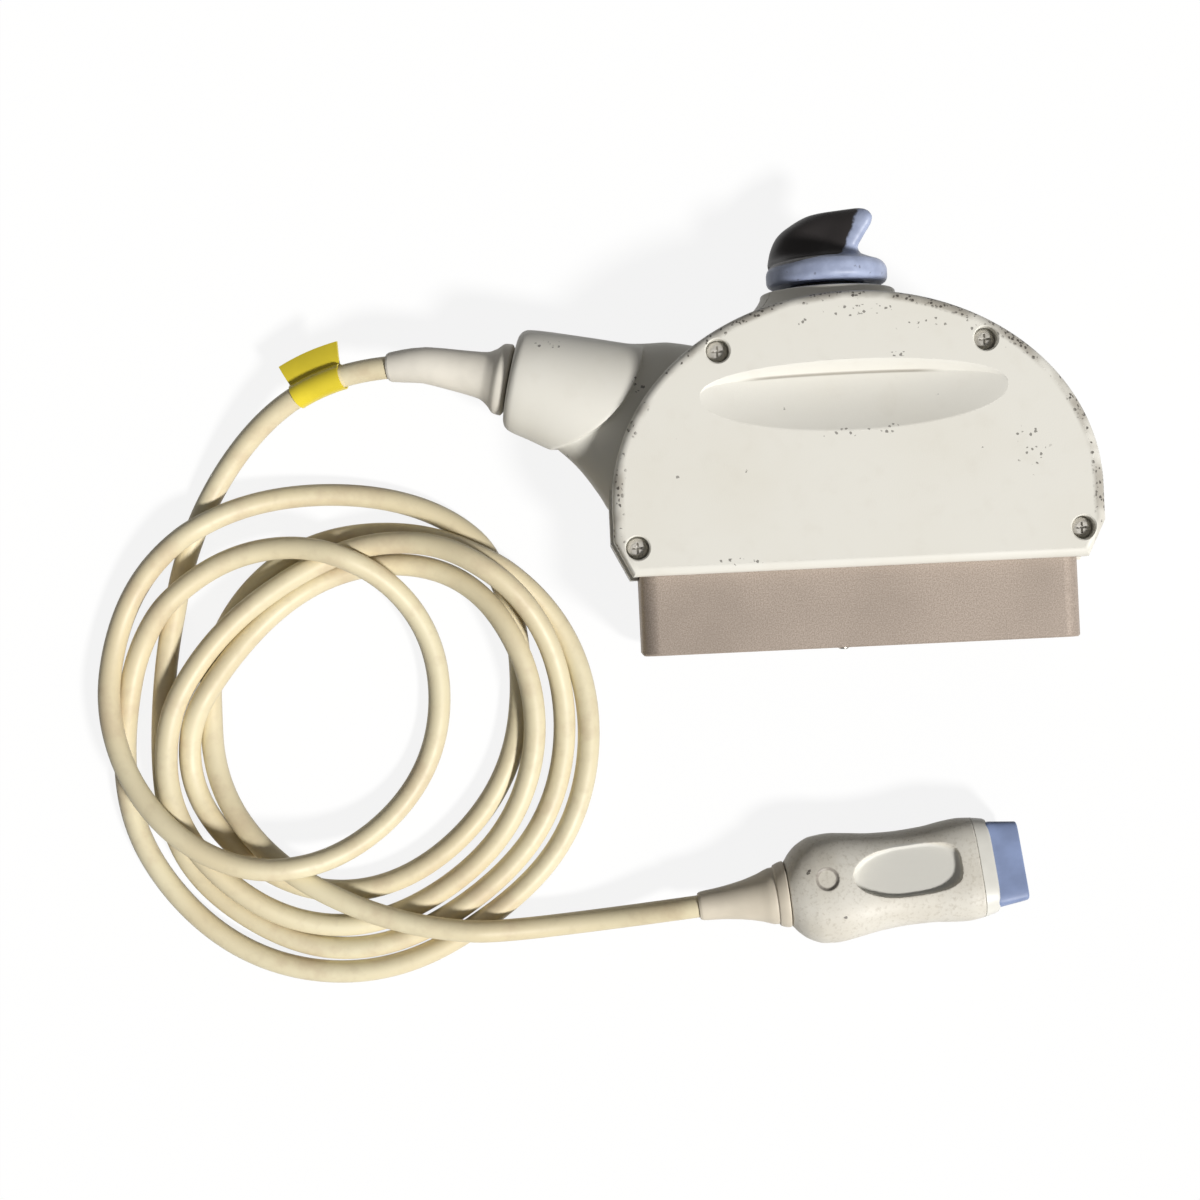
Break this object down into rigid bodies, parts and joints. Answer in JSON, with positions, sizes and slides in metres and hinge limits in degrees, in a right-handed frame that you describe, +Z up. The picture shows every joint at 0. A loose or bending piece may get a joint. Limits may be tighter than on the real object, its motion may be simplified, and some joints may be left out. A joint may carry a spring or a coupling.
{
  "type": "ultrasound transducer probe",
  "caption": "Ultrasound transducer with a coiled cable and an arched system plug with a turning lock knob, lying on a table.",
  "frame": {"origin": "middle of the plug's flat rear face, on the table", "axes": "+Z up from the table through the plug's front cover, +Y towards the lock knob, +X away from the cable outlet"},
  "size_m": [0.2917, 0.2185, 0.0451],
  "materials": {
    "housing_plastic": "moulded cream plastic, softly glossy, chipped at the edges",
    "handle_plastic": "moulded cream plastic with a satin surface",
    "nose_plastic": "moulded off-white plastic",
    "lens_rubber": "soft blue-grey silicone",
    "boot_rubber": "flexible cream moulding, satin",
    "cable_jacket": "yellowed cream cable jacket, satin",
    "yellow_tape": "thin yellow adhesive tape",
    "knob_plastic": "glossy grey moulding",
    "black_plastic": "black moulding",
    "shroud_metal": "dull, rough plated metal",
    "steel": "turned steel",
    "bush_brass": "turned brass",
    "circuit_board": "green circuit board",
    "array_ceramic": "diced ceramic array",
    "flex_film": "amber flexible circuit"
  },
  "bodies": {
    "plug": {"rear_cover": "housing_plastic", "front_cover": "housing_plastic", "cover_screw_1": "steel", "cover_screw_2": "steel", "cover_screw_3": "steel", "cover_screw_4": "steel", "plug_shroud": "shroud_metal", "contact_block": "black_plastic", "lower_board": "circuit_board", "upper_board": "circuit_board", "shaft_bush": "bush_brass", "thrust_washer": "black_plastic", "cable": "cable_jacket", "plug_boot": "boot_rubber", "cable_ferrule": "steel", "tape_flag": "yellow_tape", "handle_shell_upper": "handle_plastic", "handle_shell_lower": "handle_plastic", "nose_frame": "nose_plastic", "acoustic_lens": "lens_rubber", "array_block": "array_ceramic", "backing_block": "black_plastic", "flex_circuit": "flex_film", "probe_boot": "boot_rubber", "probe_ferrule": "steel"},
    "lock": {"lock_knob": "knob_plastic", "lock_shaft": "steel", "lock_sleeve": "steel", "lock_pin": "steel", "retaining_ring": "steel"}
  },
  "joints": [
    {"name": "lock_turn", "type": "hinge", "parent": "plug", "child": "lock", "pos_m": [-0.0035, 0.0444, 0.0225], "axis": [0, 1, 0], "range_deg": [-90, 0]}
  ]
}
